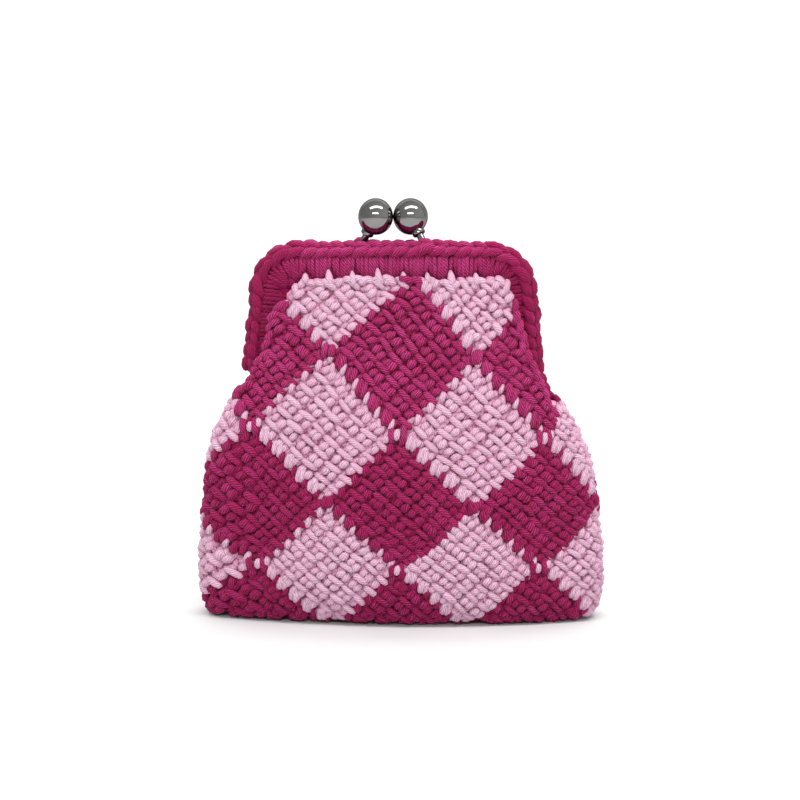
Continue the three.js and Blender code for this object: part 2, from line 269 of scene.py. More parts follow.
def yarn_material(name, relief, painted_shade, groove, body, tip):
    """Plied yarn: its relief in millimetres, and its colours: painted shade for the holes and for the ply
    grooves, the yarn's own colour, and a painted highlight for the top of a ply.
    """
    yarn = new_material(name)
    uv = yarn.node("UVMap", settings={"uv_map": "yarn"})
    count = yarn.node("SeparateXYZ", output="X", Vector=uv)
    along = yarn.node("SeparateXYZ", output="Y", Vector=uv)
    place = yarn.node("TexCoord", output="Object")
    strand = yarn.node("Attribute", output="Fac", settings={"attribute_name": "strand"})
    deep = yarn.node("Attribute", output="Fac", settings={"attribute_name": "deep"})
    wander = yarn.node("TexNoise", Vector=place, Scale=240.0, Detail=2.0)
    tremble = yarn.node("TexNoise", Vector=place, Scale=800.0, Detail=1.0)
    ply = count + wander * WANDER + tremble * TREMBLE
    across = ply.math("FRACT") * 2.0 - 1.0
    hump = 1.0 - across * across
    fibre_place = yarn.node("CombineXYZ", X=ply * 1.6, Y=along * 0.35, Z=strand * 40.0)
    fibres = yarn.node("TexNoise", Vector=fibre_place, Scale=1.7, Detail=3.0)
    patch = yarn.node("TexNoise", Vector=place, Scale=55.0, Detail=2.0)
    # The ply hump paints shade in the grooves and a highlight on the tops; fibres, patches and the strand
    # number vary the yarn's own tone, and the strand number also carries the painted shade of the frame's
    # arms.
    tone = hump * PLY_TONE + fibres * FIBRE_TONE + patch * PATCH_TONE + strand * STRAND_TONE - TONE_LESS
    low = yarn.mix((tone * 1.9).held(), groove, body)
    colour = yarn.mix(((tone - 0.52) * 2.2).held(), low, tip)
    # Painted shade: yarn deep under the cloth's surface is mixed towards the colour of the shade between the
    # stitches.
    colour = yarn.mix(((deep - PAINTED_SHADE_START) / PAINTED_SHADE_REACH).held() * PAINTED_SHADE_SHARE, colour, painted_shade)
    bump = yarn.node("Bump", Strength=1.0, Distance=relief * MM, Height=hump * 0.8 + fibres * 0.5)
    yarn.set(Base_Color=colour, Normal=bump)
    yarn.set(Roughness=0.85, Sheen_Weight=0.04, Sheen_Roughness=0.5, Specular_IOR_Level=0.1)
    yarn.set(Subsurface_Weight=0.3, Subsurface_Radius=(1.0, 0.45, 0.6), Subsurface_Scale=1.5 * MM)
    return yarn.owner


DARK_YARN = yarn_material(
    "yarn_dark",
    relief=0.6,
    painted_shade=(0.32, 0.006, 0.07, 1),
    groove=(0.19, 0.004, 0.042, 1),
    body=(0.31, 0.008, 0.085, 1),
    tip=(0.46, 0.045, 0.19, 1),
)
LIGHT_YARN = yarn_material(
    "yarn_light",
    relief=0.4,
    painted_shade=(0.60, 0.20, 0.35, 1),
    groove=(0.55, 0.285, 0.405, 1),
    body=(0.605, 0.345, 0.468, 1),
    tip=(0.67, 0.435, 0.55, 1),
)
print("each yarn has", len(DARK_YARN.node_tree.nodes), "nodes")

# %% [markdown]
# ## Metal and paper
#
# The frame is polished nickel, a rather dark grey metal. A fine noise in its roughness keeps the mirror
# from being perfect. The paper is plain and matt.

# %% Nickel and paper
nickel = new_material("nickel")
spots = nickel.node("TexNoise", Vector=nickel.node("TexCoord", output="Object"), Scale=900.0, Detail=4.0)
nickel.set(Base_Color=(0.25, 0.246, 0.24, 1), Metallic=1.0, Roughness=spots * 0.08 + 0.03)
nickel.set(Specular_Tint=(0.3, 0.3, 0.3, 1))
NICKEL = nickel.owner
paper = new_material("paper")
paper.set(Base_Color=(0.64, 0.64, 0.64, 1), Roughness=0.9)
floor.data.materials.append(paper.owner)
print("materials:", [material.name for material in bpy.data.materials])

# %% [markdown]
# ## Where the cloth is
#
# The bag is a soft tube, wide at the bottom, narrow at the frame and folded in at its sides. It could be
# sculpted, but the stitches have to know where the surface is, so it is a table of level sections with
# smooth curves between them. A place on the cloth is (u, v): u counts squares round the bag from the
# front's middle, and v counts half squares down from the rim.

# %% The tube's sections
#   v, height, half width, half depth, gusset, roll, panel, tuck, tilt
SECTIONS = np.array([
    [0.0, 150.0, 56.0, 13.8, 7.6, 5.5, 0.922, 0.0, 0.0],
    [0.5, 133.5, 58.8, 17.8, 8.4, 6.0, 0.885, 0.0, -0.018],
    [1.0, 117.0, 64.6, 22.6, 9.0, 6.5, 0.815, 0.0, -0.035],
    [1.35, 106.0, 68.6, 25.5, 8.6, 8.0, 0.775, 3.0, -0.038],
    [1.6, 97.8, 72.6, 27.5, 7.8, 9.5, 0.742, 6.0, -0.038],
    [2.0, 84.6, 80.0, 31.0, 6.0, 12.0, 0.688, 4.5, -0.036],
    [2.5, 69.2, 85.6, 33.5, 3.5, 15.0, 0.644, 1.5, -0.026],
    [3.0, 54.2, 87.8, 34.5, 1.0, 18.0, 0.624, 0.0, -0.015],
    [3.5, 39.8, 89.4, 34.6, 0.1, 19.0, 0.61, 0.0, -0.007],
    [4.0, 26.0, 90.4, 34.0, 0.1, 19.0, 0.6, 0.0, -0.002],
    [4.5, 11.6, 90.1, 31.8, 0.1, 18.0, 0.601, 0.0, 0.0],
    [4.7, 5.2, 88.7, 28.8, 0.1, 16.0, 0.606, 0.0, 0.0],
    [4.85, 1.4, 85.8, 25.0, 0.1, 14.0, 0.612, 0.0, 0.0],
    [5.0, 0.0, 81.2, 19.6, 0.1, 11.0, 0.62, 0.0, 0.0],
    [5.3, 0.0, 72.0, 10.0, 0.1, 5.5, 0.637, 0.0, 0.0],
])


def section(v):
    """Every column of the table at v, on smooth curves through its rows."""
    place = SECTIONS[:, 0]
    slope = np.empty_like(SECTIONS)
    slope[1:-1] = (SECTIONS[2:] - SECTIONS[:-2]) / (place[2:] - place[:-2])[:, None]
    slope[0] = (SECTIONS[1] - SECTIONS[0]) / (place[1] - place[0])
    slope[-1] = (SECTIONS[-1] - SECTIONS[-2]) / (place[-1] - place[-2])
    i = np.clip(np.searchsorted(place, v, side="right") - 1, 0, len(place) - 2)
    step = (place[i + 1] - place[i])[..., None]
    t = (v - place[i])[..., None] / step
    low, high = SECTIONS[i], SECTIONS[i + 1]
    rows = (
        (2 * t**3 - 3 * t**2 + 1) * low
        + (t**3 - 2 * t**2 + t) * step * slope[i]
        + (3 * t**2 - 2 * t**3) * high
        + (t**3 - t**2) * step * slope[i + 1]
    )
    return np.moveaxis(rows, -1, 0)


print("at v = 2 the tube is", section(np.array(2.0))[1].round(1), "mm above the table")

# %% [markdown]
# A quarter of a section is a wide arc across the panel, a tight arc round its edge and a gusset with a
# tuck. The squares aren't spaced evenly, because the cloth has crept round the bag and is drawn to the
# right at the top.

# %% The cloth's surface
SQUARES = 6  # in a round
# The squares' creep: u, and the place round the tube where it comes.
CREEPS = np.array([[-1.32, -1.5], [-1, -1], [1, 1], [1.6, 1.5], [2, 2], [4, 4], [4.68, 4.5]])
DRIFT, DRIFT_END = 0.09, 1.6  # squares to the right at the rim's middle, and v where that ends


def place_round(u, v):
    at = u - SQUARES * np.floor((u - CREEPS[0, 0]) / SQUARES)
    place = np.interp(at, CREEPS[:, 0], CREEPS[:, 1])
    pull = np.maximum(0, 1 - v / DRIFT_END) ** 2 * np.maximum(0, 1 - np.abs(place))
    return place + DRIFT * pull


def surface(u, v):
    """The point of the cloth's outer surface at (u, v), in millimetres."""
    u, v = np.broadcast_arrays(np.asarray(u, float), np.asarray(v, float))
    _, z, width, depth, gusset, roll, panel, tuck, tilt = section(v)
    place = place_round(u, v)
    around = place - SQUARES * np.round(place / SQUARES)
    behind = np.abs(around) > SQUARES / 4
    from_middle = np.where(behind, SQUARES / 2 - np.abs(around), np.abs(around))
    deep = depth - gusset
    wide = ((width - roll) ** 2 + deep**2 - roll**2) / (2 * (deep - roll))
    bend = np.arcsin((width - roll) / (wide - roll))
    panel_end = wide * bend
    roll_end = panel_end + roll * (np.pi / 2 - bend)
    t = from_middle / (SQUARES / 4)
    share = np.where(t < 2 / 3, panel * 1.5 * t, panel + (1 - panel) * (3 * t - 2))
    along = share * (roll_end + gusset)
    angle = bend + (along - panel_end) / roll
    gusset_y = along - roll_end - gusset
    folded_in = tuck * (1 - (gusset_y / gusset) ** 2) ** 2
    where = [along <= panel_end, along <= roll_end]
    panel_x, panel_y = wide * np.sin(along / wide), wide * (1 - np.cos(along / wide)) - depth
    roll_x, roll_y = width - roll + roll * np.sin(angle), -gusset - roll * np.cos(angle)
    across = np.sign(around) * np.select(where, [panel_x, roll_x], width - folded_in)
    y = np.select(where, [panel_y, roll_y], gusset_y)
    return np.stack([across, np.where(behind, -y, y), np.maximum(z + tilt * across, 0)], -1)


print("the tube is", np.ptp(surface(np.linspace(-3, 3, 61), 4.0), axis=0).round(1), "mm at its widest")

# %% [markdown]
# Stitches stand on the cloth, so the way out of it is needed. Its open edge runs level along the frame and
# dips under the hinges.

# %% The way out, and the open edge
NUDGE = 0.01
# The open edge: squares from a panel's middle, and v there.
EDGES = np.array([[0.7, 0.0], [0.8, 0.2], [0.9, 0.82], [1.0, 1.23], [1.1, 1.56]])
PANELS_APART = SQUARES // 2


def unit(way):
    return way / np.linalg.norm(way, axis=-1, keepdims=True)


def outward(u, v):
    across = surface(u + NUDGE, v) - surface(u - NUDGE, v)
    down = surface(u, v + NUDGE) - surface(u, v - NUDGE)
    return unit(np.cross(down, across))


def rim(u):
    """v of the cloth's open edge: 0 at the panels, lower at the sides."""
    return np.interp(np.abs(u - PANELS_APART * np.round(u / PANELS_APART)), EDGES[:, 0], EDGES[:, 1])


print("the open edge is", surface(0.0, rim(0.0))[2].round(1), "mm high in front,", end=" ")
print(surface(1.5, rim(1.5))[2].round(1), "mm at the side")

# %% [markdown]
# ## Yarn
#
# A length of yarn is a thin bent tube. A curve with a round bevel makes one, but thousands of curves are
# slow, so all tubes of one kind are worked out at once as arrays. Yarn that would go through the table is
# flattened.

# %% Rings round rows of points
SIDES = 8
AROUND = np.linspace(0, 2 * np.pi, SIDES, endpoint=False)


def rings_round(centres, up, radius):
    way = unit(np.gradient(centres, axis=1))
    aside = unit(np.cross(way, up))
    lift = np.cross(aside, way)
    spoke = np.cos(AROUND)[:, None] * lift[:, :, None] + np.sin(AROUND)[:, None] * aside[:, :, None]
    rings = centres[:, :, None] + radius[:, :, None, None] * spoke
    rings[..., 2] = np.maximum(rings[..., 2], 0)
    return rings, spoke


def tube_faces(first, many, steps):
    index = first + np.arange(many * steps * SIDES).reshape(many, steps, SIDES)
    after = np.roll(index, -1, axis=2)
    sides = np.stack([index[:, :-1], after[:, :-1], after[:, 1:], index[:, 1:]], -1).reshape(-1, 4)
    ends = np.concatenate([index[:, 0, ::-1], index[:, -1]])
    return sides.tolist() + ends.tolist()


print("a short length of yarn has", len(tube_faces(0, 1, 6)), "faces")

# %% [markdown]
# The UV map carries the twist: a step along the yarn also goes a little round it, so a straight stripe in
# the finish becomes a winding ply.

# %% The twist
# Plies seen round a yarn of the usual radius, and millimetres of it in which they go round once.
PLIES, LAY_LENGTH, USUAL_RADIUS = 8, 11.0, 1.5


def twist_uv(length, plies):
    """UV of the sides and the ends of tubes, from the length of yarn up to each ring."""
    many, steps = length.shape
    lay_length = LAY_LENGTH * plies / PLIES
    at = np.broadcast_to(np.arange(SIDES) / SIDES, (many, steps - 1, SIDES))
    start = np.broadcast_to(length[:, :-1, None], at.shape)
    stop = np.broadcast_to(length[:, 1:, None], at.shape)
    after = at + 1 / SIDES
    corners = [(at, start), (after, start), (after, stop), (at, stop)]
    sides = np.stack([np.stack([(a + b / lay_length) * plies, b], -1) for a, b in corners], -2)
    turn = AROUND / (2 * np.pi)
    end_turn = np.concatenate([np.tile(turn[::-1], (many, 1)), np.tile(turn, (many, 1))])
    end_length = np.concatenate([length[:, 0], length[:, -1]])[:, None] + np.zeros(SIDES)
    ends = np.stack([(end_turn + end_length / lay_length) * plies, end_length], -1)
    return [sides.reshape(-1, 2), ends.reshape(-1, 2)]


print("the plies go round once in", LAY_LENGTH, "mm")

# %% [markdown]
# A Yarn gathers what is worked in one length of yarn and becomes one mesh. It takes strands, which are
# tubes, and sheets, which are plain walls. Every strand has its own shade and its own start in the twist.

# %% A length of yarn
TWIST_START = 40.0  # millimetres of yarn among which a strand's start is drawn
SHEET_SHADE = 0.2


class Yarn:
    def __init__(self, shade=0.0):
        self.shade = shade
        self.points, self.faces, self.uvs, self.shades, self.deeps = [], [], [], [], []
        self.count = 0

    def add(self, points, faces, uvs, shades, deeps):
        self.points.append(points)
        self.faces += faces
        self.uvs += uvs
        self.shades.append(shades)
        self.deeps.append(deeps)
        self.count += len(points)

    def strands(self, centres, up, radius, deep, shade=0.0):
        """Closed tubes along rows of points, with the way out of the cloth and the depth under it, which sets
        their painted shade.
        """
        many, steps = centres.shape[:2]
        if not many:
            return
        radius = np.broadcast_to(radius, (many, steps))
        rings, spoke = rings_round(centres, up, radius)
        lift = radius[:, :, None] * (spoke * up[:, :, None]).sum(-1)
        under = np.broadcast_to(deep, (many, steps))[:, :, None] - lift
        plies = round(PLIES * np.median(radius.max(axis=1)) / USUAL_RADIUS)
        length = np.linalg.norm(np.diff(centres, axis=1), axis=-1).cumsum(axis=1)
        start = dice.uniform(0, TWIST_START, (many, 1))
        uvs = twist_uv(np.concatenate([np.zeros((many, 1)), length], axis=1) + start, plies)
        shades = np.repeat(dice.uniform(0, 1, many) + self.shade + shade, steps * SIDES)
        self.add(rings.reshape(-1, 3), tube_faces(self.count, many, steps), uvs, shades, under.ravel())

    def sheet(self, grid, closed, deep):
        """A skin over a grid of points, closed round one of its ways or both, with flat ends."""
        rows, columns = grid.shape[:2]
        index = self.count + np.arange(rows * columns).reshape(rows, columns)
        ends = []
        if not closed[1]:
            ends = [index[::-1, 0], index[:, -1]]
        if not closed[0]:
            ends = [index[0], index[-1, ::-1]]
        if closed[0]:
            index = np.concatenate([index, index[:1]])
        if closed[1]:
            index = np.concatenate([index, index[:, :1]], axis=1)
        quads = np.stack([index[:-1, :-1], index[1:, :-1], index[1:, 1:], index[:-1, 1:]], -1)
        faces = quads.reshape(-1, 4).tolist() + [end.tolist() for end in ends]
        points = grid.reshape(-1, 3)
        spots = [points[np.array(face) - self.count] for face in faces]
        uvs = [np.stack([spot[:, 2] * 0.1, spot[:, 0] + spot[:, 1]], -1) for spot in spots]
        self.add(points, faces, uvs, np.full(len(points), SHEET_SHADE), np.full(len(points), float(deep)))

    def make(self, name, material):
        mesh = bpy.data.meshes.new(name)
        mesh.from_pydata((np.concatenate(self.points) * MM).tolist(), [], self.faces)
        mesh.uv_layers.new(name="yarn").data.foreach_set("uv", np.concatenate(self.uvs).ravel())
        for attribute, values in (("strand", self.shades), ("deep", self.deeps)):
            mesh.attributes.new(attribute, "FLOAT", "POINT").data.foreach_set("value", np.concatenate(values))
        mesh.materials.append(material)
        mesh.shade_smooth()
        piece = bpy.data.objects.new(name, mesh)
        bpy.context.scene.collection.objects.link(piece)
        return piece


print("a yarn's shade varies by 1, and a wall behind it has", SHEET_SHADE)

# %% [markdown]
# ## One square
#
# A square has six columns of stitches, each with six rows, and the columns run down to the right. One
# square could be modelled and bent into each place, but hand work is never even, so each square starts its
# stitches a little sooner or later.

# %% Places in a square
CELLS = 6  # rows in a column
COLUMNS = 6.2  # columns in a square
USUAL_START = np.array([0.1, 0.0])
# Squares whose stitches start elsewhere: u, v, first column, first row.
STARTS = np.array([
    [0, 1, -0.15, 0.0],
    [-1, 1, -0.15, 0.1],
    [1, 1, -0.05, -0.08],
    [-0.5, 2, 0.12, -0.08],
    [0.5, 2, 0.03, 0.0],
    [-1, 3, -0.3, -0.25],
    [0, 3, -0.14, 0.15],
    [1, 3, 0.2, -0.25],
    [-0.5, 4, -0.3, 0.2],
    [0.5, 4, 0.0, -0.4],
    [-0.5, 0, 0.6, 0.15],
    [0.5, 0, 0.3, 0.0],
])


def start_of(middle):
    near = np.abs(STARTS[:, :2] - np.array(middle)).sum(axis=1)
    return STARTS[near.argmin(), 2:] if near.min() < NUDGE else USUAL_START


def in_square(middle, row, q):
    """(u, v) of a place in a square: rows go down to the right, and q up to the right from 0 to 1."""
    p = row / CELLS
    return middle[0] - 0.5 + 0.5 * (p + q), middle[1] + p - q


print("a square's lowest corner is at", in_square((0, 1), CELLS, 0))

# %% [markdown]
# Two slow waves and a few pulls bend the columns. Where the squares creep they are wider, and stitches that
# were stretched with them would look swollen, so the stretch is measured and half of it is taken back.

# %% Pulls and stretch
#   u, v, how far in u and in v, and how far the pull reaches
PULLS = np.array([
    [0.25, 0.5, 0.045, -0.03, 0.28],
    [0.25, 3.5, 0.035, 0.06, 0.28],
    [0.75, 2.5, 0.025, 0.05, 0.28],
    [-0.25, 0.5, 0.0, -0.06, 0.28],
    [-0.75, 1.5, -0.03, 0.0, 0.28],
    [-0.88, 0.58, -0.06, 0.0, 0.15],
])
SPIN = 2 * np.pi / SQUARES  # a square, as an angle round the bag


def pulled(u, v):
    """The same place after the waves and the pulls of hand work."""
    du = 0.006 * np.sin(9 * SPIN * u + 4 * v)
    dv = 0.012 * np.sin(7 * SPIN * u - 5 * v)
    for at_u, at_v, pull_u, pull_v, reach in PULLS:
        round_u = u - at_u - SQUARES * np.round((u - at_u) / SQUARES)
        near = np.exp(-((2 * round_u) ** 2 + (v - at_v) ** 2) / (2 * reach) ** 2)
        du, dv = du + pull_u * near, dv + pull_v * near
    return u + du, v + dv


def stretch(u):
    """How far one of u goes round the tube, where the squares creep."""
    way = place_round(u + NUDGE, DRIFT_END) - place_round(u - NUDGE, DRIFT_END)
    return (way - SQUARES * np.round(way / SQUARES)) / (2 * NUDGE)


print("stretch in front and at the left:", stretch(0.0).round(2), stretch(-1.2).round(2))

# %% [markdown]
# Now yarn can be laid. Stitches near a square's edges sink, so that it looks padded, and those outside the
# piece are left out. Where a square is stretched its yarn is thicker, to close the gaps.

# %% Lay yarn in a square
THICKEN = 0.4  # power of the stretch by which yarn gets thicker


def sink(row, q):
    """How far a square's stitches lie lower towards its edges."""
    return 0.5 * np.abs(2 * row / CELLS - 1).clip(0, 1) ** 5 + 0.7 * np.abs(2 * q - 1).clip(0, 1) ** 5


def lay(yarn, middle, row, q, height, radius, keep):
    """Yarn along rows of places in a square. height is millimetres above the cloth's surface."""
    row, q, height, radius = np.broadcast_arrays(row, q, height, radius)
    u, v = in_square(middle, row, q)
    half = u.shape[1] // 2
    inside = keep(u[:, half], v[:, half])
    u, v, height = u[inside], v[inside], height[inside]
    centre = u[:, half : half + 1]
    spread = stretch(centre)
    u, v = pulled(centre + (u - centre) / np.sqrt(spread), v)
    up = outward(u, v)
    yarn.strands(surface(u, v) + up * height[..., None], up, radius[inside] * spread**THICKEN, -height)


print("a corner of a square sinks by", sink(0.0, 0.0), "mm")

# %% [markdown]
# ## Bars
#
# In this stitch every loop stays on the hook until the way back, so it stands in front of the cloth as a
# bar. A bar is a short fat length of yarn that dives into the cloth at both ends, with steps that lie
# closer where it bends most. Everything is shaken a little.

# %% Bars
STEP = np.array([-1.0, -0.88, -0.58, 0.0, 0.58, 0.88, 1.0])
BAR_TAPER = np.array([0.55, 0.85, 1.0, 1.04, 1.0, 0.85, 0.55])
BAR_RADIUS, BAR_HALF, BAR_SLANT = 1.4, 0.5, 0.07  # millimetres, rows and columns
BAR_PROUD, BAR_DIVE = 0.2, 1.8  # millimetres above the cloth in its middle, and down at its ends
ROW_SHAKE = 0.035
LAST_ROW = CELLS + 0.2


def shaken(many, amount):
    return dice.normal(0, amount, (many, 1))


def cells(middle, rows, off_row, off_column, low, high):
    """Rows and q of the stitches of a square, for those whose q lies between low and high."""
    first_column, first_row = start_of(middle)
    row, column = np.meshgrid(np.arange(rows), np.arange(-1, CELLS + 2), indexing="ij")
    row = row.ravel()[:, None] + off_row + first_row
    q = (column.ravel()[:, None] + off_column + first_column) / COLUMNS
    fits = ((q > low) & (q < high) & (row < LAST_ROW)).ravel()
    return row[fits], q[fits]


def bars(yarn, middle, keep):
    row, q = cells(middle, CELLS, off_row=0.95, off_column=0.0, low=0.06, high=0.95)
    many = len(row)
    rows = np.minimum(row + BAR_HALF * STEP + shaken(many, ROW_SHAKE), LAST_ROW + 0.05 * STEP)
    q = q + (BAR_SLANT * STEP * (1 + shaken(many, 0.5)) + shaken(many, 0.045)) / COLUMNS
    top = BAR_PROUD - BAR_RADIUS - BAR_DIVE * np.abs(STEP) ** 3.5
    height = top + shaken(many, 0.2) - sink(rows, q)
    radius = BAR_RADIUS * BAR_TAPER * (1 + shaken(many, 0.07))
    lay(yarn, middle, rows, q, height, radius, keep)


print("bars:", 2 * BAR_RADIUS, "mm thick,", 2 * BAR_HALF, "row long")

# %% [markdown]
# ## Beads
#
# Between two columns the yarn of the way back shows as two beads for each bar. They are tubes like the
# bars, only shorter, fatter and deeper.

# %% Beads
BEAD_STEP = np.array([-1.0, -0.7, -0.25, 0.25, 0.7, 1.0])
BEAD_TAPER = np.array([0.5, 0.88, 1.0, 1.0, 0.88, 0.5])
BEAD_HALF, BEAD_TILT = 0.26, 0.06  # columns and rows
#   row, radius, depth
BEAD_PAIR = [(0.83, 1.68, 1.65), (1.23, 1.76, 1.6)]


def beads(yarn, middle, keep):
    for off_row, radius, under in BEAD_PAIR:
        row, q = cells(middle, CELLS, off_row, off_column=0.52, low=0.07, high=1.0)
        many = len(row)
        rows = row + BEAD_TILT * BEAD_STEP * (1 + shaken(many, 0.5)) + shaken(many, ROW_SHAKE)
        q = q + (BEAD_HALF * BEAD_STEP + shaken(many, 0.035)) / COLUMNS
        height = -under - np.abs(BEAD_STEP) ** 2.5 + shaken(many, 0.2) - sink(rows, q)
        size = radius * BEAD_TAPER * (1 + shaken(many, 0.06))
        lay(yarn, middle, rows, q, height, size, keep)


print("beads:", [2 * radius for _, radius, _ in BEAD_PAIR], "mm thick")

# %% [markdown]
# More yarn shows in the gaps. A flat wall there looks like paper, so short lengths fill it.

# %% Yarn in the gaps
UNDER_STEP = np.array([-1.0, -0.4, 0.4, 1.0])
UNDER_RADIUS = np.array([1.1, 1.6, 1.6, 1.1])
UNDER_DEPTH = 3.15
UNDER_ROW, UNDER_Q = 0.46, 0.083  # between two of them


def underlay(yarn, middle, keep):
    row, q = np.meshgrid(np.arange(0.1, CELLS, UNDER_ROW), np.arange(0.03, 1.0, UNDER_Q), indexing="ij")
    row, q = row.ravel()[:, None], q.ravel()[:, None]
    many = len(row)
    rows = row + 0.05 * UNDER_STEP + shaken(many, 0.06)
    q = q + 0.045 * UNDER_STEP + shaken(many, 0.01)
    height = -UNDER_DEPTH - 0.7 * np.abs(UNDER_STEP) ** 2 + shaken(many, 0.15)
    lay(yarn, middle, rows, q, height, UNDER_RADIUS, keep)


print("the gaps are filled", UNDER_DEPTH, "mm deep")

# %% [markdown]
# ## Loops
#
# Where a square is worked onto its neighbours, loops stand upright, whichever way the columns lean. They
# could be placed one by one, but one function hangs a loop of any size at any place, and each edge of the
# square says where.

# %% Loops that hang straight down
DOWN = np.array([0.1016, -0.0169])  # a millimetre straight down the bag, in rows and in q
RIGHT = np.array([0.0953, 0.0159])  # and a millimetre to the right


def hanging(yarn, middle, keep, row, q, length, radius, height, lean=0.0, aside=0.0):
    """Short upright loops about a place. They lean to the right at the top, and may stand a little aside."""
    many = len(row)
    way = DOWN * math.cos(lean) - RIGHT * math.sin(lean)
    across = RIGHT * math.cos(lean) + DOWN * math.sin(lean)
    reach = length / 2 * BEAD_STEP * (1 + shaken(many, 0.06))
    rows = row + way[0] * reach + across[0] * aside + shaken(many, ROW_SHAKE)
    at_q = q + way[1] * reach + across[1] * aside + shaken(many, 0.006)
    under = height - 1.4 * np.abs(BEAD_STEP) ** 3 + shaken(many, 0.12)
    size = radius * BEAD_TAPER * (1 + shaken(many, 0.05))
    lay(yarn, middle, rows, at_q, under, size, keep)


def fillers(yarn, middle, keep):
    row, q = cells(middle, CELLS, off_row=1.56, off_column=0.46, low=0.1, high=0.99)
    hanging(yarn, middle, keep, row, q, length=3.2, radius=1.1, height=-2.9)


def edge_loops(yarn, middle, keep):
    row = 1.0 + np.arange(CELLS - 1)[:, None]
    for aside in (-0.95, 0.95):
        hanging(yarn, middle, keep, row, 0.05, length=5.8, radius=1.55, height=-1.4, lean=0.3, aside=aside)


def edge_beads(yarn, middle, keep):
    row = 0.9 + np.arange(CELLS)[:, None]
    hanging(yarn, middle, keep, row, 0.955, length=4.2, radius=1.35, height=-2.2)


def picked_up_loops(yarn, middle, keep):
    _, q = cells(middle, 1, off_row=0.2, off_column=0.46, low=0.08, high=0.96)
    hanging(yarn, middle, keep, 0.3 + 0 * q, q, length=4.2, radius=1.55, height=-1.7, lean=0.3)


print("a loop goes", DOWN * 10, "in rows and q for a centimetre down")

# %% [markdown]
# Along the upper right edge thin points of the square's yarn reach between the loops of the next square.
# They are beads with one sharp end.

# %% Points
POINT_TAPER = np.array([0.9, 1.0, 1.0, 0.9, 0.7, 0.4])
POINT_RADIUS = 1.3


def points(yarn, middle, keep):
    row = 0.47 + np.arange(CELLS)[:, None]
    many = len(row)
    rows = row - 0.13 * BEAD_STEP + shaken(many, 0.05)
    q = 1.025 + 0.045 * BEAD_STEP + shaken(many, 0.006)
    height = -1.35 - 0.9 * np.abs(BEAD_STEP) ** 2 + shaken(many, 0.12)
    size = POINT_RADIUS * POINT_TAPER * (1 + shaken(many, 0.05))
    lay(yarn, middle, rows, q, height, size, keep)


print("points:", CELLS, "on a square")

# %% [markdown]
# Four squares meet at every corner. Where two dark ones touch, two loops link them. Where two light ones
# touch, a single bead shows between long dark loops.

# %% Links at the corners
STITCH_CORNER = np.array([[0.12]])
LEFT_CORNER = np.array([[0.0]])
LOWEST_CORNER = np.array([[float(CELLS)]])


def is_dark(middle):
    return middle[1] % 2 == 1


def corner_link(yarn, middle, keep):
    if is_dark(middle):
        for aside in (-1.1, 1.1):
            link = {"length": 5.4, "radius": 1.65, "height": -0.9, "lean": 0.15, "aside": aside}
            hanging(yarn, middle, keep, STITCH_CORNER, 0.03, **link)
    else:
        link = {"length": 3.6, "radius": 1.5, "height": -0.8, "lean": 0.15, "aside": 0.3}
        hanging(yarn, middle, keep, LEFT_CORNER, 0.0, **link)


def bottom_link(yarn, middle, keep):
    if is_dark(middle):
        for aside in (-2.1, 2.6):
            hanging(yarn, middle, keep, LOWEST_CORNER, 0.0, length=7.0, radius=1.45, height=-1.2, aside=aside)


STITCHES = [underlay, bars, beads, fillers, edge_loops, edge_beads, points, picked_up_loops]
STITCHES += [corner_link, bottom_link]


def square(yarn, middle, keep):
    for stitch in STITCHES:
        stitch(yarn, middle, keep)


print("a square is made of", len(STITCHES), "kinds of stitches")

# %% [markdown]
# ## Walls behind the stitches
#
# Crochet is thick and lets no light through. Each round gets a plain closed wall behind its stitches, with
# the zigzag edges of its squares, which also gives the bag a clean inside.

# %% Walls
WALL = 4.5
STITCH_DEPTH = 3.4  # from the cloth's surface to the front of the wall
BASE_V = 5.0  # the lowest round ends here, at the table
LINK = 0.07  # half the height of a link between two squares
WALL_ROWS = 9


def round_edges(row, middle, u):
    off = np.abs(u - middle - np.round(u - middle))
    half = np.clip(1 - 2 * off, LINK, 1 - LINK)
    return np.maximum(row - half, rim(u)), np.minimum(row + half, BASE_V)


def backing(yarn, row, middle, u, ring):
    top, bottom = round_edges(row, middle, u)
    v = top + (bottom - top) * np.linspace(0, 1, WALL_ROWS)[:, None]
    around = np.broadcast_to(u, v.shape)
    out = outward(around, v)
    place = surface(around, v)
    front = place - out * STITCH_DEPTH
    inside = (place - out * WALL)[::-1]
    # The wall's depth gives it painted shade.
    yarn.sheet(np.concatenate([front, inside]), (True, ring), 3.2)


print("walls:", round(WALL - STITCH_DEPTH, 1), "mm thick")

# %% [markdown]
# ## The open edge
#
# A chain finishes the open edge, and each of its loops has the colour of its square. To space them evenly
# the edge is measured first.

# %% The chain along the open edge
#   row: millimetres between loops, half a loop's length, slant, place and height
EDGE_LOOPS = {0: (4.4, 2.1, 0.9, 1.6, -1.7), 1: (4.3, 2.3, 0.7, 1.3, -1.2)}
LOOP_RADIUS = 1.5
LOOP_TAPER = np.array([0.62, 0.93, 1.0, 1.03, 1.0, 0.93, 0.62])
CLOTH_SCALE = np.array([60.0, 33.0])  # millimetres of cloth in one of u and of v
EDGE_REACH = 1.1
EDGE_SMOOTH = 81  # samples of the edge over which its way is smoothed
DARK_TIP = 0.44  # nearer than this to the next square's middle, the dark square's top corner reaches the edge
LIGHT_EDGE = 0.13  # v of the lowest light loops
CORNER_SLANT = 1.7


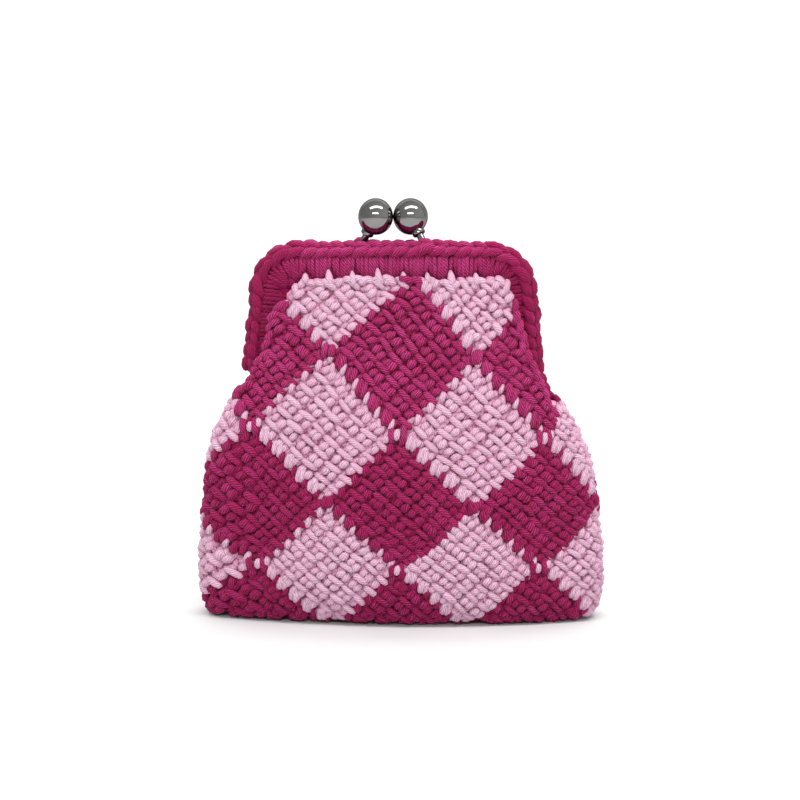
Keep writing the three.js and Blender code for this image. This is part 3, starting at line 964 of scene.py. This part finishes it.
def open_edge(panel_middle, pitch):
    """Places along the open edge of a panel: u, v and the ways along and into the cloth for a millimetre."""
    u = panel_middle + np.linspace(-EDGE_REACH, EDGE_REACH, 1201)
    v = rim(u)
    length = np.concatenate([[0], np.linalg.norm(np.diff(surface(u, v), axis=0), axis=1).cumsum()])
    at = np.arange(pitch / 2, length[-1], pitch)
    way = unit(np.stack([np.gradient(u), np.gradient(v)], -1) * CLOTH_SCALE)
    smooth = [np.convolve(way[:, k], np.ones(EDGE_SMOOTH) / EDGE_SMOOTH, "same") for k in (0, 1)]
    along = unit(np.stack([np.interp(at, length, k) for k in smooth], -1))
    into = np.stack([-along[:, 1], along[:, 0]], -1)
    return np.interp(at, length, u), np.interp(at, length, v), along / CLOTH_SCALE, into / CLOTH_SCALE


def edge_chain(yarn, panel_middle, row):
    pitch, half, slant, inset, lift = EDGE_LOOPS[row]
    u, v, along, into = open_edge(panel_middle, pitch)
    off = np.abs(u - 0.5 - np.round(u - 0.5))
    dark_tip = off > DARK_TIP
    mine = (v < LIGHT_EDGE) & ~dark_tip if row == 0 else (v >= 0.98 - 2 * off) | dark_tip
    u, v, along, into = [k[mine][:, None] for k in (u, v, along, into)]
    many = len(u)
    upright = np.clip(v / 0.06, 0, 1) * (row == 0)  # light loops round the corner stand up and are shorter
    slant = slant * (1 - upright) + CORNER_SLANT * upright * np.sign(u - panel_middle)
    half = half * (1 - 0.3 * upright)
    for place, under in [(inset, lift), (inset - 0.5, lift - 1.8)]:
        forward = half * STEP + shaken(many, 0.35)
        bow = 0.5 * np.abs(STEP) ** 4
        inward = place + slant * STEP * (1 + shaken(many, 0.3)) + bow + shaken(many, 0.3)
        move = forward[..., None] * along + inward[..., None] * into
        at_u, at_v = pulled(u + move[..., 0], v + move[..., 1])
        out = outward(at_u, at_v)
        height = under - 1.5 * np.abs(STEP) ** 3 + shaken(many, 0.25)
        size = LOOP_RADIUS * LOOP_TAPER * (1 + shaken(many, 0.06))
        yarn.strands(surface(at_u, at_v) + out * height[..., None], out, size, -height)


print("the front's open edge takes", len(open_edge(0, EDGE_LOOPS[1][0])[0]), "loops")

# %% [markdown]
# The frame's cover is worked into the edge in groups of strands. Between two groups a loop of the light
# yarn stands up as a point.

# %% Points at the open edge
FRAME_X = -2.9  # the frame stands a little to the left
GROUP = 10.6  # millimetres of the frame for one group of strands
#   millimetres into the cloth, millimetres towards the frame, thickness
RIM_POINT = np.array([
    [2.6, 0.9, 0.6],
    [1.2, 0.9, 1.0],
    [0.0, 1.3, 1.1],
    [-1.2, 2.1, 1.0],
    [-2.4, 3.0, 0.75],
    [-3.4, 3.6, 0.35],
])


def edge_points(yarn, panel_middle):
    turned = -1 if panel_middle else 1
    u = panel_middle + np.linspace(-0.75, 0.75, 301)
    x = surface(u, rim(u))[:, 0]
    between_groups = FRAME_X + (np.arange(-4, 4) + 0.5) * GROUP
    at = np.interp(between_groups, x[::turned], u[::turned])[:, None]
    many = len(at)
    into = RIM_POINT[:, 0] * (1.0 + shaken(many, 0.2))
    foot = surface(at, rim(at) + 0.02)
    depth = np.broadcast_to(turned * RIM_POINT[:, 1], into.shape)
    lean = np.stack([0.16 * turned * into - 0.3, depth, -into], -1)
    centres = foot + lean + shaken(many, 0.25)[..., None]
    out = np.broadcast_to(np.array([0.0, -turned, 0.0]), centres.shape)
    size = LOOP_RADIUS * RIM_POINT[:, 2] * (1 + shaken(many, 0.1))
    yarn.strands(centres, out, size, 1.4)


print("a point stands up every", GROUP, "mm")

# %% [markdown]
# ## The rounds
#
# A round is worked in one length of yarn, so it is one mesh. The lower four go all round the bag. Above the
# hinges the bag is open at the sides, so the upper rounds are a stretch in front and one behind. Each takes
# the place of the plain solid of the same round.

# %% Make the rounds
YARNS = {"yarn_dark": DARK_YARN, "yarn_light": LIGHT_YARN}
WALL_COLUMNS = 20  # of a wall's mesh in one square
#   name, replaces, row, first middle, from, to, yarn, shade
ROUNDS = [
    ("base_round_yarn", "base_round", 5, 0.0, 0.0, 6.0, "yarn_dark", -1.2),
    ("round_1_yarn", "round_1", 4, 0.5, 0.0, 6.0, "yarn_light", 0.3),
    ("round_2_yarn", "round_2", 3, 0.0, 0.0, 6.0, "yarn_dark", -1.1),
    ("round_3_yarn", "round_3", 2, 0.5, 0.0, 6.0, "yarn_light", 0.1),
    ("front_round_4_yarn", "front_round_4", 1, 0.0, -1.2, 1.2, "yarn_dark", 0.0),
    ("back_round_4_yarn", "back_round_4", 1, 0.0, 1.8, 4.2, "yarn_dark", 0.0),
    ("front_top_yarn", "front_top_triangles", 0, 0.5, -0.8, 0.8, "yarn_light", 0.3),
    ("back_top_yarn", "back_top_triangles", 0, 0.5, 2.2, 3.8, "yarn_light", 0.3),
]


def finish_piece(piece, node):
    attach(piece, "root")
    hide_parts(node)
    print(piece.name, len(piece.data.polygons), "faces")


def belongs(start, stop, ring):
    """A test for stitches of a round: under the open edge, above the table, between its ends."""

    def keep(u, v):
        away = u - PANELS_APART * np.round(u / PANELS_APART)
        here = (v > rim(away + 0.03 * np.sign(away)) + 0.05) & (v < BASE_V - 0.03)
        return here if ring else here & (u > start - NUDGE) & (u < stop + NUDGE)

    return keep


for name, node, row, first, start, stop, slot, shade in ROUNDS:
    ring = stop - start == SQUARES
    yarn = Yarn(shade)
    columns = round((stop - start) * WALL_COLUMNS)
    backing(yarn, row, first, start + np.arange(columns + (not ring)) / WALL_COLUMNS, ring)
    for middle in np.arange(np.floor(start), np.ceil(stop)) + first:
        if ring or start - 0.5 < middle < stop + 0.5:
            square(yarn, (middle, row), belongs(start, stop, ring))
    if row < 2:
        edge_chain(yarn, (start + stop) / 2, row)
    if row == 0:
        edge_points(yarn, (start + stop) / 2)
    finish_piece(yarn.make(name, YARNS[slot]), node)

# %% [markdown]
# ## The base
#
# The panel under the bag is an oval of plain rows, flat on the table. It is hidden, so it is made simply: a
# closed oval wall, and rows of long flat stitches under it.

# %% Base panel
BASE_ROW = 3.7  # millimetres between its rows
BASE_STITCH = 6.5  # and along a row between its stitches
BASE_RADIUS, BASE_HALF = 1.6, 4.0
BASE_TAPER = np.array([0.5, 0.86, 1.0, 1.0, 1.0, 0.86, 0.5])
BASE_FLOOR = 1.4  # the wall's underside
BASE_RINGS = np.array([1.0, 0.7, 0.4, 0.05])  # shares of the oval
BASE_POINTS = 60
BASE_MARGIN = 2.0


def base_wall(yarn, edge):
    inner = edge * (1 - BASE_MARGIN / np.linalg.norm(edge, axis=1, keepdims=True))
    rings = [(share, WALL) for share in BASE_RINGS[::-1]] + [(share, BASE_FLOOR) for share in BASE_RINGS]
    grid = [np.concatenate([inner * share, np.full((BASE_POINTS, 1), z)], axis=1) for share, z in rings]
    yarn.sheet(np.stack(grid), (True, True), 2.0)


def base_rows(yarn, edge):
    half = edge[:, 0].max() - 4
    row = np.arange(-4, 5)[:, None]
    at = np.arange(-half, half, BASE_STITCH)[None, :] + BASE_STITCH * 0.5 * (row % 2)
    x, y = [k.ravel() for k in np.broadcast_arrays(at, row * BASE_ROW)]
    in_order = edge[np.argsort(edge[:, 0])]
    reach = np.interp(x, *in_order[in_order[:, 1] > 0].T)
    fits = (np.abs(y) < reach - BASE_MARGIN) & (np.abs(x) < half)
    x, y = x[fits][:, None], y[fits][:, None]
    slanted = y + 0.7 * STEP + shaken(len(y), 0.15)
    height = BASE_RADIUS + 0.9 * np.abs(STEP) ** 3
    centres = np.stack(np.broadcast_arrays(x + BASE_HALF * STEP, slanted, height), -1)
    down = np.broadcast_to(np.array([0.0, 0.0, -1.0]), centres.shape)
    yarn.strands(centres, down, BASE_RADIUS * BASE_TAPER, centres[..., 2])


yarn = Yarn()
base_edge = surface(np.arange(BASE_POINTS) * SQUARES / BASE_POINTS, BASE_V)[:, :2]
base_wall(yarn, base_edge)
base_rows(yarn, base_edge)
finish_piece(yarn.make("base_panel_yarn", DARK_YARN), "base_panel")

# %% [markdown]
# ## The frame's line
#
# Each half of the frame goes up one arm, along the top and down the other arm, and its yarn follows the
# same line. So a place on it is a length from the top's middle, a distance out of the line and a depth. The
# back half is the front half turned round.

# %% The frame's line
BAR_TOP = 155.5
BAR_Y = -4.45
BAR_HIGH, BAR_DEEP = 8.0, 2.4
CORNER = 11.5
HINGE_X, HINGE_Z = 56.2, 104.5
ARM_LEAN = 0.085  # sine of the arms' lean towards the middle
ARM_RISE = math.sqrt(1 - ARM_LEAN**2)
COVER_END = 108.0  # the yarn stops here, above the hinge
BEND = math.acos(ARM_LEAN)
REACH = CORNER * math.tan(BEND / 2)
TOP_HALF = HINGE_X - (BAR_TOP - HINGE_Z) * ARM_LEAN / ARM_RISE - REACH
ARM_TOP = BAR_TOP - REACH * ARM_RISE
TO_BEND_END = TOP_HALF + CORNER * BEND
TO_END = TO_BEND_END + (ARM_TOP - COVER_END) / ARM_RISE


def frame_place(along, out, y, turned=False):
    along, out, y = np.broadcast_arrays(*[np.asarray(k, float) for k in (along, out, y)])
    far = np.abs(along)
    angle = np.pi / 2 - np.clip((far - TOP_HALF) / CORNER, 0, BEND)
    arm = np.maximum(far - TO_BEND_END, 0)
    x = np.minimum(far, TOP_HALF) + (CORNER + out) * np.cos(angle) + arm * ARM_LEAN
    z = BAR_TOP - CORNER + (CORNER + out) * np.sin(angle) - arm * ARM_RISE
    x = np.sign(along) * x
    return np.stack([FRAME_X - x, -y, z], -1) if turned else np.stack([FRAME_X + x, y, z], -1)


print("each cover is", round(2 * TO_END), "mm long")

# %% [markdown]
# ## The frame's cover
#
# Long strands go over the bar in groups of six, and each group ends in one hole of the pouch's edge, so it
# narrows at the bottom. On the arms the strands get painted shade, so they look darker.

# %% Strands over the bar
RIBS = 6
WRAP_RADIUS = 1.02
WRAP_START, WRAP_LENGTH = 4.4, 12.9  # out of the bar's line at the top, and down to the pouch
GATHER, RAISE = 0.34, 2.5  # share by which a group narrows, and how much shorter its outer strands are
WRAP_FRONT = 8.9  # depth at which a strand gets no painted shade
# Painted shade on the frame's arms, added to the strand number of the wraps and of the chain.
WRAP_PAINTED_SHADE, CHAIN_PAINTED_SHADE = -2.8, -2.4
#   share of the way down, depth and thickness
WRAP = np.array([
    [0.0, -6.2, 0.8],
    [0.14, -7.2, 1.0],
    [0.3, -7.6, 1.0],
    [0.5, -7.7, 1.0],
    [0.7, -7.5, 1.0],
    [0.86, -6.5, 0.95],
    [1.0, -4.8, 0.6],
])


# Painted shade: none on the top, growing through the corners to full on the arms.
def painted_arm_shade(along, shade):
    return shade * np.clip((np.abs(along.mean(axis=1)) - TOP_HALF + 8) / 20, 0, 1)


def wraps(yarn, turned):
    groups = np.arange(-round(TO_END / GROUP), round(TO_END / GROUP) + 1) * GROUP
    groups = groups[np.abs(groups) < TO_END - 3]
    slots = np.arange(RIBS) - (RIBS - 1) / 2
    group, slot = [k.ravel()[:, None] for k in np.meshgrid(groups, slots, indexing="ij")]
    many = len(group)
    down = WRAP[:, 0]
    along = group + slot * (GROUP / RIBS) * (1 - GATHER * down**3) + shaken(many, 0.15)
    edge = (slot / slots[-1]) ** 2
    out = WRAP_START - (WRAP_LENGTH - RAISE * edge) * down + shaken(many, 0.25)
    y = WRAP[:, 1] + 0.8 * edge * down + shaken(many, 0.15)
    centres = frame_place(along, out, y, turned)
    up = np.broadcast_to(np.array([0, 1.0 if turned else -1.0, 0]), centres.shape)
    size = WRAP_RADIUS * WRAP[:, 2] * (1 + shaken(many, 0.05))
    yarn.strands(centres, up, size, y + WRAP_FRONT, painted_arm_shade(along, WRAP_PAINTED_SHADE))


print("a group has", RIBS, "strands on", GROUP, "mm")

# %% [markdown]
# The strands come out of a chain along the outer edge: two rows of slanted stitches that meet like a plait.
# It climbs a little beside the post of the ball.

# %% The chain
CHAIN = 5.6  # millimetres of chain for one stitch
CHAIN_HALF, CHAIN_DIP = 3.8, 2.3
CHAIN_TAPER = np.array([0.45, 0.8, 0.98, 1.08, 0.98, 0.8, 0.45])
POST_ALONG, POST_HUMP, POST_WIDE = 14.5, 1.5, 4.0
#   out, depth, rise, fall, shift, radius
CHAIN_ROWS = [(5.8, -7.6, 1.5, -0.6, 0.0, 2.05), (8.4, -4.4, -1.3, -0.9, 1.5, 1.9)]


def chain(yarn, turned):
    stitches = np.arange(-TO_END + 3, TO_END - 2, CHAIN)[:, None]
    many = len(stitches)
    dip = CHAIN_DIP * np.abs(STEP) ** 2.5
    for out_at, y_at, rise, fall, shift, radius in CHAIN_ROWS:
        along = stitches + shift + CHAIN_HALF * STEP + shaken(many, 0.35)
        hump = POST_HUMP * np.exp(-(((along - POST_ALONG) / POST_WIDE) ** 2))
        out = out_at + rise * STEP - 0.6 * dip + hump + shaken(many, 0.25)
        y = y_at + fall * STEP + 0.8 * dip + shaken(many, 0.22)
        centres = frame_place(along, out, y, turned)
        up = unit(centres - frame_place(along, -1.0, BAR_Y, turned))
        size = radius * CHAIN_TAPER * (1 + shaken(many, 0.09))
        yarn.strands(centres, up, size, radius + 0.7 * dip, painted_arm_shade(along, CHAIN_PAINTED_SHADE))


print("a chain has", len(np.arange(-TO_END + 3, TO_END - 2, CHAIN)), "stitches")

# %% [markdown]
# Inside, a plain sleeve hides the bar and closes the slit between the two halves. It is one section, drawn
# along the frame's line.

# %% The sleeve, and both covers
#   out, depth
CORE = np.array([
    [8.0, -4.8],
    [6.6, -6.2],
    [3.0, -6.0],
    [-6.0, -6.4],
    [-9.0, -5.8],
    [-9.6, -4.4],
    [-9.0, -1.3],
    [2.8, 0.0],
    [8.2, 0.0],
])
COVER_SHADE = 0.4


def core(yarn, turned):
    along = np.linspace(-TO_END, TO_END, 90)[:, None]
    yarn.sheet(frame_place(along, CORE[:, 0], CORE[:, 1], turned), (False, True), 2.4)


for side in ("front", "back"):
    yarn = Yarn(COVER_SHADE)
    for make in (core, wraps, chain):
        make(yarn, side == "back")
    finish_piece(yarn.make(f"{side}_frame_cover_yarn", DARK_YARN), f"{side}_frame_cover")

# %% [markdown]
# ## The bent bar
#
# Each half of the frame is a flat bar bent to a U. It could be a curve with a bevel, but here it is bent
# like the real one: a small rectangle at the left hinge is extruded along the line, and turned about each
# corner's middle a few degrees at a time.

# %% The bent bar
CORNER_STEPS = 14


def alone():
    bpy.ops.object.select_all(action="DESELECT")


def draw_out(way):
    bpy.ops.mesh.extrude_region_move(TRANSFORM_OT_translate={"value": [k * MM for k in way]})


def round_corner(x):
    middle = (x * MM, BAR_Y * MM, (BAR_TOP - CORNER) * MM)
    for _ in range(CORNER_STEPS):
        draw_out((0, 0, 0))
        bpy.ops.transform.rotate(value=-BEND / CORNER_STEPS, orient_axis="Y", center_override=middle)


def bent_bar():
    alone()
    bpy.ops.mesh.primitive_plane_add(size=1)
    bar = bpy.context.object
    bar.scale = (BAR_HIGH * MM, BAR_DEEP * MM, 1)
    bar.rotation_euler = (0, math.asin(ARM_LEAN), 0)
    bar.location = (-HINGE_X * MM, BAR_Y * MM, HINGE_Z * MM)
    apply_place()
    arm = np.array([ARM_LEAN, 0, ARM_RISE]) * (ARM_TOP - HINGE_Z) / ARM_RISE
    bpy.ops.object.mode_set(mode="EDIT")
    bpy.ops.mesh.select_all(action="SELECT")
    draw_out(arm)
    round_corner(-TOP_HALF)
    draw_out((2 * TOP_HALF, 0, 0))
    round_corner(TOP_HALF)
    draw_out(arm * (1, 1, -1))
    bpy.ops.object.mode_set(mode="OBJECT")
    return bar


print("a bar is", BAR_HIGH, "by", BAR_DEEP, "mm, and its corners have", CORNER_STEPS, "steps")

# %% [markdown]
# Posts, collars, eyes and rivets are turned rods with bevelled rims, because a real edge catches light. A
# Boolean modifier joins them and drills the eyes.

# %% Rods, and joins and cuts between solids
ROD_SIDES = 48
BEVEL_STEPS = 3


def rod(radius, start, stop, round_off=0.3):
    start, stop = Vector(start) * MM, Vector(stop) * MM
    alone()
    bpy.ops.mesh.primitive_cylinder_add(vertices=ROD_SIDES, radius=radius * MM, depth=(stop - start).length)
    piece = bpy.context.object
    select_edges(piece, lambda a, b: abs(a.z - b.z) < 1e-6)
    bpy.ops.mesh.bevel(offset=round_off * MM, segments=BEVEL_STEPS)
    bpy.ops.object.mode_set(mode="OBJECT")
    piece.location = (start + stop) / 2
    piece.rotation_euler = (stop - start).to_track_quat("Z", "Y").to_euler()
    apply_place()
    return piece


def combine(piece, other, operation):
    cut = piece.modifiers.new("combine", "BOOLEAN")
    cut.operation = operation
    cut.solver = "EXACT"
    cut.object = other
    alone()
    bpy.context.view_layer.objects.active = piece
    piece.select_set(True)
    bpy.ops.object.modifier_apply(modifier=cut.name)
    bpy.data.objects.remove(other)


print("rods have", ROD_SIDES, "sides")

# %% [markdown]
# ## The two halves of the frame
#
# Each bar has an eye at both ends for a rivet, and a polished ball on a leaning post, with a collar under
# it. The balls lean past each other, which is the snap of the clasp.

# %% The two halves of the frame
EYE, PIN, PIN_ROOM = 4.0, 1.6, 0.2
BALL_RADIUS, BALL_TALL, BALL_PLACE = 7.66, 1.05, (7.53, 1.5, 176.5)
BALL_SIDES, BALL_RINGS = 64, 32
POST_FOOT = (17.0, BAR_Y, BAR_TOP + 3.0)
POST_RADIUS, FOOT_RADIUS, COLLAR_RADIUS = 1.6, 2.3, 2.9
SMOOTH_ANGLE = math.radians(35)


def ball_on_post():
    foot, ball_place = Vector(POST_FOOT), Vector(BALL_PLACE)
    way = (ball_place - foot).normalized()
    collar = ball_place - way * (BALL_RADIUS + 0.6)
    parts = [
        rod(FOOT_RADIUS, foot - way * 1.5, foot + way * 4.0),
        rod(POST_RADIUS, foot, ball_place - way * 3),
        rod(COLLAR_RADIUS, collar - way * 1.0, collar + way * 1.2, 0.5),
        rod(FOOT_RADIUS, collar + way * 1.0, collar + way * 2.6, 0.4),
    ]
    alone()
    bpy.ops.mesh.primitive_uv_sphere_add(
        segments=BALL_SIDES, ring_count=BALL_RINGS, radius=BALL_RADIUS * MM, location=ball_place * MM
    )
    ball = bpy.context.object
    ball.scale.z = BALL_TALL
    apply_place()
    return parts + [ball]


def frame_half(turned):
    bar = bent_bar()
    front, behind = BAR_Y - BAR_DEEP / 2, BAR_Y + BAR_DEEP / 2
    for x in (-HINGE_X, HINGE_X):
        combine(bar, rod(EYE, (x, front, HINGE_Z), (x, behind, HINGE_Z)), "UNION")
        drill = rod(PIN + PIN_ROOM, (x, front - 2, HINGE_Z), (x, behind + 2, HINGE_Z))
        combine(bar, drill, "DIFFERENCE")
    for part in ball_on_post() + [bar]:
        part.select_set(True)
    bpy.context.view_layer.objects.active = bar
    bpy.ops.object.join()
    bar.location.x = FRAME_X * MM
    bar.rotation_euler.z = math.pi if turned else 0
    apply_place()
    bpy.ops.object.shade_smooth_by_angle(angle=SMOOTH_ANGLE)
    return bar


for side in ("front", "back"):
    half = frame_half(side == "back")
    half.name = f"{side}_frame_metal"
    half.data.materials.append(NICKEL)
    finish_piece(half, f"{side}_frame")

# %% [markdown]
# ## Hinge rivets
#
# A rivet holds the halves together at each end. It is a rod with a low round head at each side, joined into
# one solid.

# %% Hinge rivets
HEAD, HEAD_THICK, HEAD_ROUND = 2.6, 1.2, 0.8
OUT = abs(BAR_Y) + BAR_DEEP / 2
HEAD_FOOT = OUT + 0.3

for side, x in (("left", FRAME_X - HINGE_X), ("right", FRAME_X + HINGE_X)):
    rivet = rod(PIN, (x, -OUT - 0.5, HINGE_Z), (x, OUT + 0.5, HINGE_Z), 0.2)
    for end in (-1, 1):
        foot, top = (x, end * HEAD_FOOT, HINGE_Z), (x, end * (HEAD_FOOT + HEAD_THICK), HINGE_Z)
        combine(rivet, rod(HEAD, foot, top, HEAD_ROUND), "UNION")
    bpy.ops.object.shade_smooth_by_angle(angle=SMOOTH_ANGLE)
    rivet.name = f"{side}_rivet"
    rivet.data.materials.append(NICKEL)
    finish_piece(rivet, f"{side}_hinge_pin")

# %% [markdown]
